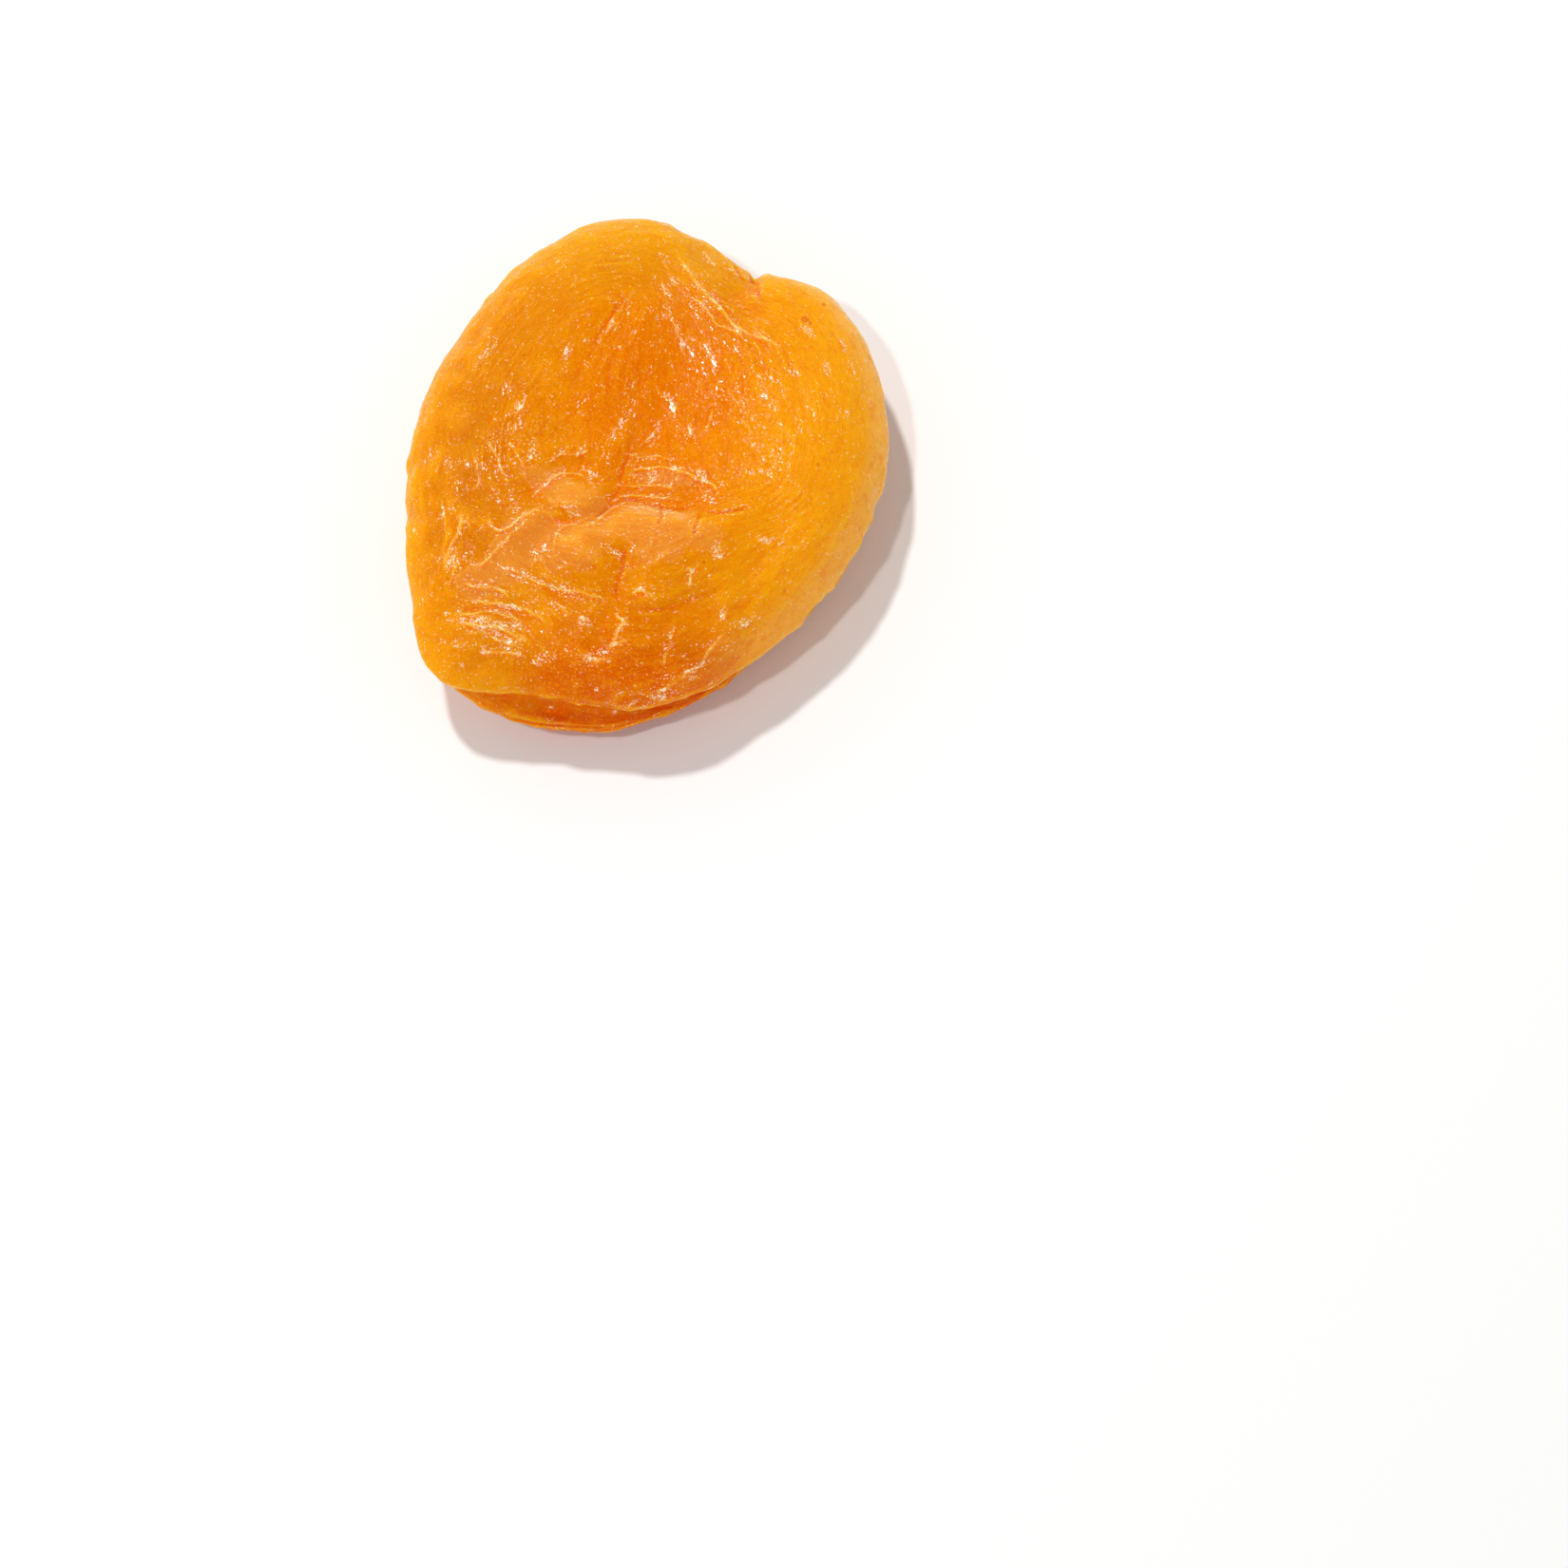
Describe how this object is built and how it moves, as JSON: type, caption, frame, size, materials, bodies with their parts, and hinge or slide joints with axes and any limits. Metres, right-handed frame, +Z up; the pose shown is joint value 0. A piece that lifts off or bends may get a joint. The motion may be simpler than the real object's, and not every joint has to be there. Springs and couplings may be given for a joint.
{
  "type": "dried apricot",
  "caption": "Whole pitted dried apricot, a soft plump disc with a wrinkled upper face sunk in the middle, a seam groove round the rim and a stem dimple underneath.",
  "frame": {"origin": "middle of the bounding box's footprint, on the surface that the fruit lies on", "axes": "+Z up, away from the surface; +Y along the fruit's length, away from the opening in its seam"},
  "size_m": [0.0378, 0.0428, 0.0122],
  "materials": {
    "apricot_flesh": "satin"
  },
  "bodies": {
    "root": {"apricot": "apricot_flesh"}
  },
  "joints": []
}
